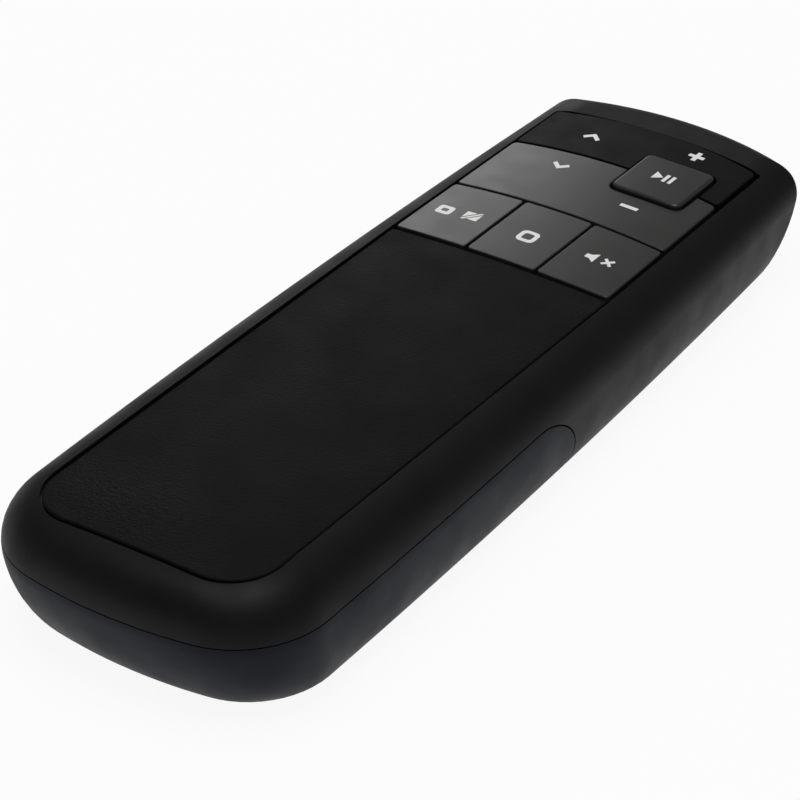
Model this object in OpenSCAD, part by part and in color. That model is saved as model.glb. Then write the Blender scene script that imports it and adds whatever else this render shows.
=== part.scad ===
// Wireless presentation clicker: a two-shell hand remote with a soft grip pad,
// four push keys, two rocker keys, two AAA cells and a stored USB receiver.
// +X is the right-hand side, +Y points to the head, +Z is up, and z = 0 is the table.

/* [Casing] */
// Overall length, tail to head
length = 128.4; // [124:0.1:134]
// Width of the tail end before the side bulge
tail_w = 43.7; // [42.4:0.1:45]
// Width of the head end before the side bulge
head_w = 39.4; // [39:0.1:42]
// How far each side bulges out at mid length
side_bulge = 1.35; // [0.8:0.05:1.8]
// Height of the casing where the keys meet the grip pad
head_h = 16.4; // [16.2:0.1:17]
// How much the flat top rises from there to the tail end
tail_rise = 2; // [1.6:0.1:2.2]
// Height of the widest level above the table
widest_z = 10.7; // [10.4:0.1:11.2]
// Inset of the top roll-over from the widest level
top_roll = 6.7; // [6.4:0.1:7]
// Inset of the bottom roll-under from the widest level
bottom_roll = 4.6; // [4.2:0.1:5]
// How far the head end leans back from top to bottom
head_rake = 8.7; // [6:0.1:9.5]
// How far the tail end leans in from top to bottom
tail_rake = 2.7; // [1:0.1:3]
// Plan radius of the tail end
tail_arc = 66; // [60:1:90]
// Plan radius of the tail corners
tail_corner = 12; // [11:0.1:13]
// Plan radius of the head end
head_arc = 50; // [46:1:60]
// Plan radius of the head corners
head_corner = 1.2; // [1:0.1:2]
// Wall of the top casing
wall = 1.5; // [1.3:0.05:1.6]
// Inset of the top roll-over on the inside of the wall
inner_roll = 4.2; // [3.8:0.1:4.4]
// Width of the rim that holds the floor plate
floor_rim = 2; // [1.8:0.1:2.4]
// Gap along the fixed seams
seam_gap = 0.15; // [0.1:0.05:0.25]

/* [Battery cover] */
// Height of the seam above the cover
seam_z = 11.9; // [11.6:0.1:12.2]
// How far the cover reaches ahead of the battery bay
cover_reach = 7; // [6.6:0.1:7.6]
// Radius of the cover's upper front corners
cover_corner = 9; // [7:0.5:10]
// Wall of the cover
cover_wall = 1.5; // [1.3:0.05:1.6]
// Sliding gap between the cover and what it runs on
slide_gap = 0.3; // [0.25:0.05:0.35]
// Height of the cover's guide rails
rail_h = 1.1; // [0.9:0.1:1.3]
// Depth of the guide grooves in the cradle
groove_d = 0.65; // [0.55:0.05:0.7]

/* [Keys] */
// Half width of the key window at the grip pad
window_half = 16.75; // [16.6:0.05:16.9]
// How much narrower each side of the key window is at the head
window_taper = 0.7; // [0.5:0.05:0.8]
// Length of the key window along its centre line
window_l = 40.5; // [40.2:0.1:41]
// Gap between one key and the next
key_gap = 0.4; // [0.3:0.05:0.5]
// Gap between the keys and the casing
window_gap = 0.6; // [0.5:0.05:0.7]
// Length of the lower rocker along its centre line, gap to gap
lower_l = 14.5; // [14.2:0.1:14.8]
// Sag at the sides of the gap between the small keys and the lower rocker
row_sag = 0.8; // [0.6:0.1:1.2]
// Length of the upper rocker along its centre line, window to gap
upper_l = 11.4; // [11.2:0.1:11.8]
// Sag at the sides of the gap between the two rockers
rocker_sag = 1.6; // [1:0.1:2]
// Distance from the head end to the key window along the centre line
head_margin = 6.1; // [5.9:0.1:6.3]
// Sag at the sides of the window's head edge
window_sag = 2.3; // [2:0.1:2.6]
// Half width of the middle small key, gap centre to key centre
middle_half = 5.3; // [5.1:0.05:5.5]
// Height of the keys' crown above the casing at the keys
key_proud = 0.45; // [0.3:0.05:0.6]
// Radius of the crown across the keys and the grip pad
crown_r = 280; // [240:10:320]
// Play key width
play_w = 10.4; // [10:0.1:10.6]
// Play key length
play_l = 9.8; // [9.4:0.1:10]
// Play key centre, X
play_x = 7; // [6.8:0.1:7.2]
// Play key centre, behind the gap between the rockers
play_shift = 0.5; // [0.3:0.1:0.7]
// Play key corner radius
play_r = 1; // [0.8:0.1:1.5]
// Height of the play key above its neighbours
play_proud = 0.5; // [0.3:0.05:0.8]
// Travel of a push key
key_travel = 0.4; // [0.3:0.05:0.45]
// How far a retaining flange reaches under its neighbour
flange_reach = 0.4; // [0.3:0.05:0.45]
// Thickness of a push key's retaining flange
flange_t = 0.7; // [0.6:0.05:0.8]
// Thickness of a rocker's plate outside its cap
rocker_plate_t = 0.45; // [0.4:0.05:0.5]

/* [Grip pad] */
// Half width of the grip pad
pad_half = 16.45; // [16.3:0.05:16.6]
// Distance from the tail end to the grip pad
pad_margin = 5.6; // [5.2:0.1:6]
// Corner radius of the pad at the tail
pad_corner = 7; // [6:0.5:8]
// Thickness of the pad at its centre
pad_t = 0.9; // [0.8:0.05:1]
// Gap around the pad, and between its head end and the keys
pad_gap = 0.3; // [0.2:0.05:0.35]
// How far the pad's centre stands above the casing's edge
pad_proud = 0.2; // [0.1:0.05:0.3]

/* [Board and switches] */
// Thickness of the circuit board
board_t = 1.2; // [1:0.1:1.6]
// Depth of the board's top face below the casing where the keys meet the pad
key_stack = 7.2; // [7.1:0.05:7.3]
// Half width of the board
board_half = 16; // [15.5:0.1:16.2]
// Distance from the head end to the board
board_margin = 5.6; // [5.4:0.1:6]
// Side of a tact switch body
switch_w = 6; // [5.8:0.1:6.2]
// Height of a tact switch body
switch_h = 2.7; // [2.6:0.05:2.8]
// How far a switch plunger stands out of its body
plunger_out = 0.5; // [0.45:0.05:0.55]
// Radius of a switch plunger
plunger_r = 1.5; // [1.4:0.05:1.6]
// Running clearance of a plunger in its bore, on the radius
plunger_play = 0.08; // [0.05:0.01:0.1]
// Distance of the rocker switches from the pivot
rocker_arm = 9; // [8.6:0.1:9.2]
// Radius of the rocker pins
pin_r = 0.6; // [0.5:0.05:0.65]
// Running clearance of a rocker on its pin, on the radius
pin_play = 0.06; // [0.04:0.01:0.1]
// Height of the rocker pins above the board
pin_up = 2.2; // [2.1:0.05:2.25]

/* [Batteries and receiver] */
// Diameter of an AAA cell
cell_d = 10.5; // [10.3:0.05:10.5]
// Length of an AAA cell with its nub
cell_l = 44.5; // [44:0.1:44.5]
// Radius of a cell's nub
nub_r = 1.9; // [1.7:0.1:1.9]
// Height of a cell's nub
nub_h = 0.9; // [0.8:0.1:1]
// Centre of the left cell, X
cell_x = -13; // [-13.1:0.05:-12.9]
// Distance between the cells' centres
cell_pitch = 10.8; // [10.7:0.05:10.9]
// Length of a contact spring with the cell in
spring_l = 4.2; // [4:0.1:4.4]
// Radius of a contact spring's wire
spring_wire = 0.3; // [0.25:0.05:0.35]
// Turns of a contact spring
spring_turns = 4; // [3:0.5:4.5]
// Thickness of the contact plates
plate_t = 0.4; // [0.3:0.05:0.45]
// Wall between the tail screws' bosses and the battery bay
bay_wall = 1; // [0.9:0.05:1.1]
// Wall of the battery cradle
cradle_wall = 1.2; // [1.1:0.05:1.3]
// Width of the USB receiver's cap
receiver_w = 13; // [12.8:0.1:13.2]
// Thickness of the USB receiver's cap
receiver_t = 5.8; // [5.6:0.1:6]
// Length of the USB receiver's cap
receiver_l = 7; // [6.5:0.1:8]
// Width of the USB plug
plug_w = 12; // [11.9:0.05:12]
// Thickness of the USB plug
plug_t = 4.5; // [4.4:0.05:4.5]
// Length of the USB plug
plug_l = 12; // [11.5:0.1:12.5]

/* [Screws] */
// Shaft radius of a case screw
screw_r = 1; // [0.9:0.05:1.1]
// Head radius of a case screw
screw_head_r = 1.9; // [1.8:0.05:2]
// Head height of a case screw
screw_head_h = 1.2; // [1.1:0.05:1.3]
// Front case screws: distance from the centre line
front_screw_x = 8.5; // [8.3:0.1:8.7]
// Front case screws: distance ahead of the cover
front_screw_step = 2.8; // [2.6:0.1:3.2]
// Tail case screws: distance from the centre line
tail_screw_x = 6; // [5:0.1:8]
// Tail case screws: distance from the tail end
tail_screw_margin = 6.4; // [6.3:0.1:6.5]
// Radius of a screw boss
boss_r = 2.2; // [2.1:0.05:2.3]
// Shaft radius of a board screw
board_screw_r = 0.75; // [0.7:0.05:0.8]
// Board screws: distance from the centre line
board_screw_x = 12.5; // [12:0.1:13]
// Board screws: distance ahead of the front case screws
board_screw_step = 0.5; // [0.4:0.1:1]
// Shaft length of a board screw
board_screw_l = 4.5; // [4:0.1:4.8]
// Head height of a board screw
board_screw_head = 0.9; // [0.8:0.05:1]

/* [Chips under the board] */
// Side of the radio chip
radio_w = 5; // [4:0.5:6]
// Length of the crystal
crystal_l = 3.2; // [2:0.1:5]
// Radius of the power coil
power_coil_r = 2.2; // [1.5:0.1:2.5]
// Length of a capacitor
capacitor_l = 1.6; // [1:0.1:2]
// Distance from one capacitor to the next
capacitor_pitch = 2.4; // [2:0.1:3]

/* [Hidden] */

$fn = 48;
BIG = 200;
EPS = 0.01;
FIT = 0.05;

// Casing form: levels of [z, inset], each a ring of points round the plan outline.
END_STEPS = 3;
CORNER_STEPS = 5;
LOW_STEPS = 5;
TOP_STEPS = 6;
CROWN_STEPS = 24;
SIDE_STEPS = 9;
inside_top = head_h - wall;
// Places of the keys, counted from the head end
window_y1 = length / 2 - head_margin;
window_y0 = window_y1 - window_l;
rocker_y = window_y1 - upper_l;
row_y = rocker_y - lower_l;
play_y = rocker_y - play_shift;
// The top is one plane that falls from the tail to the head.
top_slope = tail_rise / (window_y0 + length / 2);
tilt = atan(top_slope);
side_head = length / 2 - head_rake - head_corner;
side_tail = tail_corner + tail_rake - length / 2;
side_y = [for (i = [SIDE_STEPS - 1:-1:1]) let (k = i / SIDE_STEPS) k * side_head + (1 - k) * side_tail];

function rake(z, reach) = reach * pow(max(head_h - z, 0) / head_h, 1.5);
function low_levels(z0) = [for (i = [0:LOW_STEPS]) let (t = 90 - 90 * i / LOW_STEPS)
    [widest_z - (widest_z - z0) * sin(t), bottom_roll * (1 - cos(t))]];
function top_levels(z1, roll) = [for (i = [1:TOP_STEPS]) let (t = 90 * i / TOP_STEPS)
    [widest_z + (z1 - widest_z) * sin(t), roll * (1 - cos(t))]];
outer_levels = concat(low_levels(0), top_levels(head_h, top_roll));
head_over = max([for (l = outer_levels) -l[1] / 2 - rake(l[0], head_rake)]);
tail_over = min([for (l = outer_levels) l[1] + rake(l[0], tail_rake)]);
head_y = length / 2 - head_over;
tail_y = -length / 2 - tail_over;

function bulge(y) = let (t = min(max((y + length / 2) / length, 0), 1)) side_bulge * 4 * t * (1 - t);
function half_width(y) = tail_w / 2 + (head_w - tail_w) / 2 * (y / length + 0.5) + bulge(y);
function lift(y) = top_slope * (window_y0 - y);
// Half of one end, from the centre line to the side: an end arc, then a corner arc.
function half_end(w, big, small, y, s) = let (
        r1 = max(big, w / 2 + 1), r2 = min(max(small, 0.3), w / 2 - 1),
        y0 = y - s * r1, rise = sqrt(max(pow(r1 - r2, 2) - pow(w / 2 - r2, 2), EPS)),
        turn = atan2(w / 2 - r2, rise))
    concat([for (i = [0:END_STEPS - 1]) let (t = turn * i / END_STEPS)
            [r1 * sin(t), y0 + s * r1 * cos(t)]],
        [for (i = [0:CORNER_STEPS]) let (t = turn + (90 - turn) * i / CORNER_STEPS)
            [w / 2 - r2 + r2 * sin(t), y0 + s * (rise + r2 * cos(t))]]);
function plan(z, d, in) = let (
        e = d + in,
        head = half_end(head_w - 2 * e, head_arc - e, head_corner - e / 2,
            head_y - d / 2 - in - rake(z, head_rake), 1),
        tail = half_end(tail_w - 2 * e, tail_arc - e, tail_corner - e / 2,
            tail_y + e + rake(z, tail_rake), -1),
        a = head[len(head) - 1], b = tail[len(tail) - 1], n = len(tail) - 1,
        side = [for (y = side_y) [b[0] + (a[0] - b[0]) * (y - b[1]) / (a[1] - b[1]), y]],
        half = concat(head, side, [for (i = [0:n]) tail[n - i]]))
    [for (p = half) [p[0] + (p[0] > EPS ? bulge(p[1]) : 0), p[1]]];
function ring_3d(z, d, in, z1) = let (
        half = plan(z, d, in), n = len(half),
        k = min(max((z - widest_z) / (z1 - widest_z), 0), 1),
        right = [for (p = half) [p[0], p[1], z + k * lift(p[1])]])
    concat(right, [for (i = [n - 2:-1:1]) [-right[i][0], right[i][1], right[i][2]]]);

// Closed loft through the levels; the top is laid in strips from side to side.
module loft(levels, in = 0) {
    z1 = levels[len(levels) - 1][0];
    rings = [for (l = levels) ring_3d(l[0], l[1], in, z1)];
    n = len(rings[0]);
    last = len(rings) - 1;
    points = [for (r = rings) each r];
    floor_face = [for (i = [n - 1:-1:0]) i];
    walls = [for (k = [0:last - 1], i = [0:n - 1]) let (j = (i + 1) % n) each [
        [k * n + i, k * n + j, (k + 1) * n + j],
        [k * n + i, (k + 1) * n + j, (k + 1) * n + i]]];
    roof = [for (i = [0:n / 2 - 1]) let (
            a = last * n + i, b = a + 1, c = last * n + (n - i - 1), d = last * n + (n - i) % n)
        each (i == 0 ? [[a, b, c]] : i == n / 2 - 1 ? [[a, b, d]] : [[a, b, c], [a, c, d]])];
    polyhedron(points, concat([floor_face], walls, roof));
}

module casing_form() loft(outer_levels);
module hollow_form(in, z0, z1) loft(concat(low_levels(z0), top_levels(z1, inner_roll)), in);
module box(x0, x1, y0, y1, z0, z1) translate([x0, y0, z0]) cube([x1 - x0, y1 - y0, z1 - z0]);
module tube_z(r, x, y, z0, z1) translate([x, y, z0]) cylinder(r = r, h = z1 - z0);
module at_sides(x, y) for (s = [-1, 1]) translate([s * x, y, 0]) children();

// Plan shapes
module floor_plan(gap) {
    edge = plan(0, bottom_roll, floor_rim + gap);
    polygon(concat(edge, [for (i = [len(edge) - 2:-1:1]) [-edge[i][0], edge[i][1]]]));
}
module pad_plan(grow) {
    r = pad_corner + grow;
    union() {
        translate([-pad_half - grow, pad_y0 + pad_corner])
            square([2 * (pad_half + grow), pad_y1 - pad_y0 - pad_corner]);
        translate([-pad_half + pad_corner, pad_y0 - grow])
            square([2 * (pad_half - pad_corner), 2 * r]);
        for (s = [-1, 1]) translate([s * (pad_half - pad_corner), pad_y0 + pad_corner]) circle(r);
    }
}
// A strip of the key field between two crowned edges: each edge is [y at x = 0, sag].
function edge_r(sag) = (pow(window_half, 2) + pow(sag, 2)) / (2 * sag);
module below_edge(y, sag) translate([0, y - edge_r(sag)]) circle(edge_r(sag), $fn = 360);
// The key field's sides draw in from the grip pad to the head.
module field_plan(grow) {
    wide = window_half + grow;
    narrow = wide - window_taper;
    y0 = window_y0 - flange_reach;
    y1 = window_y1 + flange_reach;
    polygon([[-wide, y0], [wide, y0], [narrow, y1], [-narrow, y1]]);
}
// grow moves only the strip's outer sides.
module key_strip(x0, x1, low, low_sag, high, high_sag, grow) difference() {
    intersection() {
        translate([x0, low - 3]) square([x1 - x0, high - low + 3]);
        below_edge(high, high_sag);
        field_plan(grow);
    }
    if (low_sag > 0) below_edge(low, low_sag);
    else translate([-BIG / 2, low - BIG]) square(BIG);
}
module play_plan(grow) translate([play_x, play_y]) {
    a = play_w / 2 + grow;
    b = play_l / 2 + grow;
    r = play_r + grow;
    union() {
        square([2 * a, 2 * (b - r)], center = true);
        square([2 * (a - r), 2 * b], center = true);
        for (i = [-1, 1], j = [-1, 1]) translate([i * (a - r), j * (b - r)]) circle(r);
    }
}
// Lays its children along the falling top; z is their level where the keys meet the pad.
module tilted(z) translate([0, window_y0, z]) rotate([-tilt, 0, 0]) translate([0, -window_y0, 0]) children();
// Solid under the crowned surface whose ridge is at z
module under_crown(z) tilted(z) translate([0, BIG, 0]) rotate([90, 0, 0]) linear_extrude(2 * BIG) polygon([
    [-crown_half, -z],
    for (i = [0:CROWN_STEPS]) let (x = crown_half * (2 * i / CROWN_STEPS - 1))
        [x, sqrt(crown_r ^ 2 - x ^ 2) - crown_r],
    [crown_half, -z]]);

// Levels and places worked out from the sizes above.
// Keys and pad
key_top = head_h + key_proud;
key_half = window_half - window_gap;
crown_half = window_half + 1;
small_y0 = window_y0 + pad_gap;
pad_y0 = pad_margin - length / 2;
pad_y1 = window_y0;
pad_top = head_h + pad_proud;
pad_floor = pad_top - pad_t;
// Switches and what stands on them
board_z = head_h - key_stack;
key_rest = 0.15;
foot_gap = 0.1;
foot_r = 1.6;
switch_top = board_z + switch_h;
plunger_top = switch_top + plunger_out;
plunger_l = 1.1;
bore_depth = plunger_l - plunger_out + key_travel + key_rest;
flange_z0 = inside_top + lift(row_y) - flange_reach - flange_t;
rocker_z0 = plunger_top + 0.2;
play_z0 = switch_top + key_travel + key_rest;
play_flange = 0.5;
play_room = 0.35;
small_switch_y = (small_y0 + row_y) / 2 - 0.3;
small_x = (middle_half + key_half) / 2;
lower_switch_y = (row_y + rocker_y) / 2 - 2.2;
upper_switch_y = window_y1 - 4;
switch_spots = [
    [-small_x, small_switch_y], [0, small_switch_y], [small_x, small_switch_y], [play_x, play_y],
    [-rocker_arm, lower_switch_y], [rocker_arm, lower_switch_y],
    [-rocker_arm, upper_switch_y], [rocker_arm, upper_switch_y]
];
// Rocker pins, lugs and uprights: each pin as [tail end, length]
pin_z = board_z + pin_up;
lug_r = pin_r + pin_play + 0.5;
pin_seat = 0.02;
pin_side = 0.2;
flange_clear = 0.25;
upright_t = 1;
lug_t = 1.6;
lower_pin = [row_y, 8];
upper_pin = [window_y1 - 6, 5];
// Board, frame and floor
board_low = board_z - board_t;
board_cut = 4;
board_y1 = length / 2 - board_margin;
radio_y = row_y + capacitor_pitch;
radio = [radio_w, 0.9];
crystal_size = [crystal_l, 0.78 * crystal_l, 0.25 * crystal_l];
coil_size = [power_coil_r, 2];
capacitor = [capacitor_l / 2, capacitor_l, capacitor_l / 2];
frame_t = 0.8;
frame_z = board_z + frame_t;
frame_side = 0.8;
frame_y0 = small_switch_y - switch_w / 2 - frame_side;
socket_gap = 0.2;
floor_t = 1.6;
floor_head = plan(0, bottom_roll, floor_rim)[0][1];
post_r = 1.5;
hook_x = 6;
hook_w = 4;
hook_t = 1.1;
hook_reach = 1.4;
// Clearances round the screws and their seats
hole_gap = 0.15;
head_gap = 0.2;
seat_t = 1.5;
seat_gap = 0.1;
boss_roof = 1;
// Cradle, with the battery bay, the receiver's pocket and the dock of its plug
cover_in = cover_wall + slide_gap;
cradle_z0 = cover_in;
cell_play = 0.2;
cell_z = cradle_z0 + cell_d / 2 + cell_play / 2;
roof_z = cell_z + cell_d / 2 + cell_play / 2;
cradle_z1 = roof_z + cradle_wall;
shelf_z = cradle_z0 + cradle_wall;
shelf_half = 13;
board_gap = 1;
plate_gap = 0.1;
coil_r = nub_r + 0.7;
bay_x0 = cell_x - cell_d / 2 - cell_play;
bay_x1 = cell_x + cell_pitch + cell_d / 2 + cell_play;
tail_screw_y = tail_screw_margin - length / 2;
bay_back = tail_screw_y + boss_r + head_gap + bay_wall;
bay_front = bay_back + cell_l + spring_l + 2 * (plate_t + plate_gap);
cell_front = bay_front - plate_gap - plate_t;
cell_back = bay_back + plate_gap + plate_t;
cradle_front = bay_front + cradle_wall;
cover_front = bay_front + cover_reach;
board_y0 = cradle_front + board_gap;
cradle_tail = tail_screw_y - boss_r - cradle_wall;
pocket_x0 = bay_x1 + cradle_wall;
pocket_x1 = pocket_x0 + receiver_w + 2 * cell_play;
receiver_x = (pocket_x0 + pocket_x1) / 2;
receiver_z = cradle_z0 + cradle_wall + receiver_t / 2;
dock_y = bay_back + plug_l + 1.7;
dock_gap = 0.15;
cap_y = dock_y + 0.2;
plug_wall = 0.3;
tongue_w = plug_w - 1;
cap_r = 1;
tab_w = 2.4;
tab_gap = 0.2;
tab_l = 3;
contact_half = 3.6;
contact_z0 = cell_z - 2.6;
contact_z1 = roof_z - 1.1;
tab_z = contact_z1 - 0.8 - plate_t;
// The cover's front end has to pass the widest part of the cradle.
widest_y = -length * (tail_w - head_w) / (16 * side_bulge);
cradle_in = cover_in + half_width(widest_y) - half_width(cover_front);
// Rails of the cover and grooves of the cradle
rail_l = 40;
rail_y = cover_front - 7.2 - rail_l / 2;
rail_z = widest_z - 4.4;
rail_gap = 0.15;
rail_root = 0.6;
rail_inset = bottom_roll * (1 - sqrt(1 - pow(1 - rail_z / widest_z, 2)));
groove_x = half_width(rail_y) - cradle_in - rail_inset - groove_d;
rail_reach = groove_d - rail_gap + cradle_in - cover_wall + rail_root;
// Screws and bosses
front_boss_z = shelf_z + seat_gap;
tail_boss_z = cradle_z0 + 5.4;
tail_seat_z = tail_boss_z - seat_gap - seat_t;
screw_l = inside_top - boss_roof - 0.8 - tail_seat_z;
front_screw_y = cover_front + front_screw_step;
board_screw_y = front_screw_y + board_screw_step;

// Side view of the space that the cover and the cradle under it take from the top casing
module cover_zone(gap) rotate([90, 0, 90]) translate([0, 0, -BIG / 2]) linear_extrude(BIG)
    translate([gap, gap]) union() {
        translate([-BIG, -BIG]) square([BIG + cover_front, BIG + seam_z - cover_corner]);
        translate([-BIG, -BIG]) square([BIG + cover_front - cover_corner, BIG + seam_z]);
        translate([cover_front - cover_corner, seam_z - cover_corner]) circle(cover_corner);
    }
module boss(x, y, z0, r, bore) at_sides(x, y) translate([0, 0, z0]) difference() {
    cylinder(r = r, h = inside_top + lift(y) + 4 * FIT - z0);
    translate([0, 0, -EPS]) cylinder(r = bore, h = inside_top + lift(y) - boss_roof - z0);
}
module hole(r, x, y, z0, z1) at_sides(x, y) translate([0, 0, z0]) cylinder(r = r, h = z1 - z0);
module rounded(w, h, r) union() {
    square([w, h - 2 * r], center = true);
    square([w - 2 * r, h], center = true);
    for (i = [-1, 1], j = [-1, 1]) translate([i * (w / 2 - r), j * (h / 2 - r)]) circle(r);
}
module along_y(x, y, z, l) translate([x, y + l, z]) rotate([90, 0, 0]) linear_extrude(l) children();

// Casings
module top_casing() color([0.09, 0.09, 0.1]) {
    difference() {
        casing_form();
        hollow_form(wall, wall, inside_top);
        cover_zone(seam_gap);
        translate([0, 0, -1]) linear_extrude(wall + 2) floor_plan(0);
        tilted(pad_floor) linear_extrude(BIG) pad_plan(pad_gap);
        translate([0, 0, widest_z]) linear_extrude(BIG)
            key_strip(-BIG, BIG, window_y0, 0, window_y1, window_sag, 0);
    }
    boss(front_screw_x, front_screw_y, front_boss_z, boss_r, screw_r + FIT);
    boss(tail_screw_x, tail_screw_y, tail_boss_z, boss_r, screw_r + FIT);
    boss(board_screw_x, board_screw_y, board_z, boss_r - 0.5, board_screw_r + FIT);
}
module cradle() difference() {
    intersection() {
        hollow_form(cradle_in, cradle_z0, inside_top + EPS);
        difference() {
            box(-BIG / 2, BIG / 2, cradle_tail, cradle_front, cradle_z0, cradle_z1);
            box(bay_x0, bay_x1, bay_back, bay_front, -1, roof_z);
            box(pocket_x0, pocket_x1, dock_y, bay_front, -1, roof_z);
            for (s = [-1, 1]) translate([s * (groove_x + BIG / 2), 0, rail_z])
                cube([BIG, BIG * 2, rail_h + 2 * rail_gap], center = true);
        }
    }
    along_y(receiver_x, dock_y - plug_l - 0.6, receiver_z, plug_l + 1)
        square([plug_w + 2 * dock_gap, plug_t + 2 * dock_gap], center = true);
    hole(boss_r + head_gap, tail_screw_x, tail_screw_y, tail_seat_z + seat_t, BIG);
    hole(screw_r + hole_gap, tail_screw_x, tail_screw_y, 0, tail_boss_z);
    hole(screw_head_r + head_gap, tail_screw_x, tail_screw_y, 0, tail_seat_z);
    for (x = [cell_x, cell_x + cell_pitch])
        box(x - tab_w / 2 - tab_gap, x + tab_w / 2 + tab_gap, bay_front - 1, cradle_front + 1,
            tab_z - tab_gap, tab_z + plate_t + tab_gap);
}
module floor_plate() difference() {
    union() {
        linear_extrude(floor_t) intersection() {
            floor_plan(seam_gap);
            translate([-BIG / 2, cover_front + seam_gap]) square(BIG);
        }
        box(-shelf_half, shelf_half, cover_front + seam_gap, front_screw_y + 2 * post_r, 0, shelf_z);
        box(-shelf_half, shelf_half, cradle_front - FIT, front_screw_y, cradle_z0, shelf_z);
        for (y = [small_switch_y, rocker_y])
            hole(post_r, shelf_half - post_r, y, floor_t - FIT, board_low);
        at_sides(hook_x, floor_head) {
            box(-hook_w / 2, hook_w / 2, -hook_w, -2 * seam_gap, floor_t - FIT, floor_t + hook_t);
            box(-hook_w / 2, hook_w / 2, -hook_w, hook_reach, floor_t + seam_gap, floor_t + hook_t);
        }
    }
    hole(screw_r + hole_gap, front_screw_x, front_screw_y, -1, BIG);
    hole(screw_head_r + head_gap, front_screw_x, front_screw_y, -1, shelf_z - seat_t);
}
module bottom_casing() color([0.16, 0.17, 0.19]) {
    cradle();
    floor_plate();
}
module battery_cover() color([0.15, 0.16, 0.19]) {
    difference() {
        intersection() {
            casing_form();
            cover_zone(0);
        }
        hollow_form(cover_wall, cover_wall, inside_top);
    }
    for (s = [-1, 1]) translate([s * (groove_x + rail_gap + rail_reach / 2), rail_y, rail_z])
        cube([rail_reach, rail_l, rail_h], center = true);
}
module grip_pad() color([0.12, 0.12, 0.12]) intersection() {
    tilted(pad_floor) linear_extrude(10) pad_plan(0);
    under_crown(pad_top);
}

// Keys
module crowned(z0, z1) intersection() {
    translate([0, 0, z0]) linear_extrude(10) children();
    under_crown(z1);
}
module small_key(x0, x1, x) color([0.3, 0.3, 0.3]) {
    top_y = row_y - key_gap / 2;
    crowned(flange_z0, key_top) key_strip(x0, x1, small_y0, 0, top_y, row_sag, -window_gap);
    translate([0, 0, flange_z0]) linear_extrude(flange_t)
        key_strip(x0, x1, window_y0 - flange_reach, 0, top_y, row_sag, flange_reach);
    tube_z(foot_r, x, small_switch_y, plunger_top, flange_z0 + FIT);
}
module start_key() small_key(-BIG, -middle_half - key_gap / 2, -small_x);
module screen_key() small_key(-middle_half + key_gap / 2, middle_half - key_gap / 2, 0);
module mute_key() small_key(middle_half + key_gap / 2, BIG, small_x);
module play_key() color([0.3, 0.31, 0.31]) {
    crowned(play_z0, key_top + play_proud) play_plan(0);
    translate([0, 0, play_z0]) linear_extrude(play_flange) play_plan(play_flange);
    tube_z(foot_r, play_x, play_y, plunger_top, play_z0 + FIT);
}
// The stretch of a pin between its uprights, less the side play of the lugs
function pin_inner(p) = [p[0] + upright_t + pin_side, p[0] + p[1] - upright_t - pin_side];
// A rocker: crowned cap, retaining plate, two feet and the lugs that turn on its pin.
module rocker(y0, sag0, y1, sag1, plate_y0, plate_y1, spot_y, lugs) difference() {
    union() {
        crowned(rocker_z0, key_top) key_strip(-BIG, BIG, y0, sag0, y1, sag1, -window_gap);
        translate([0, 0, rocker_z0]) linear_extrude(rocker_plate_t)
            key_strip(-BIG, BIG, plate_y0, sag0, plate_y1, sag1, flange_reach);
        hole(foot_r, rocker_arm, spot_y, plunger_top + foot_gap, rocker_z0 + FIT);
        for (l = lugs) {
            along_y(0, l[0], pin_z, l[1] - l[0]) circle(lug_r);
            box(-lug_r, lug_r, l[0], l[1], pin_z, rocker_z0 + FIT);
        }
    }
    translate([0, 0, rocker_z0 - 1]) linear_extrude(BIG) play_plan(key_gap);
    translate([0, 0, play_z0 - 1]) linear_extrude(1 + play_flange + play_room)
        play_plan(play_flange + play_room);
    for (l = lugs) along_y(0, l[0] - 1, pin_z, l[1] - l[0] + 2) circle(pin_r + pin_play);
}
module lower_rocker() color([0.32, 0.32, 0.32]) rocker(
    row_y + key_gap / 2, row_sag, rocker_y - key_gap / 2, rocker_sag,
    row_y + key_gap / 2, rocker_y - key_gap / 2, lower_switch_y,
    [for (y = [pin_inner(lower_pin)[0], pin_inner(lower_pin)[1] - lug_t]) [y, y + lug_t]]);
module upper_rocker() color([0.14, 0.14, 0.14]) rocker(
    rocker_y + key_gap / 2, rocker_sag, window_y1 - window_gap, window_sag,
    rocker_y + key_gap / 2, window_y1 + flange_reach, upper_switch_y,
    [pin_inner(upper_pin)]);

// Key frame and pins
module upright(y) difference() {
    box(-lug_r, lug_r, y, y + upright_t, frame_z - FIT, rocker_z0 - flange_clear);
    along_y(0, y - 1, pin_z, upright_t + 2) circle(pin_r + pin_seat);
}
module key_frame() color([0.2, 0.2, 0.22]) {
    difference() {
        box(frame_side - board_half, board_half - frame_side, frame_y0, board_y1 - 2, board_z, frame_z);
        for (p = switch_spots) translate([p[0], p[1], board_z])
            linear_extrude(2 * frame_t) square(switch_w + 2 * socket_gap, center = true);
    }
    for (p = [lower_pin, upper_pin], y = [p[0], p[0] + p[1] - upright_t]) upright(y);
}
module rocker_pins() color("silver") for (p = [lower_pin, upper_pin])
    along_y(0, p[0], pin_z, p[1]) circle(pin_r);

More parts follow.
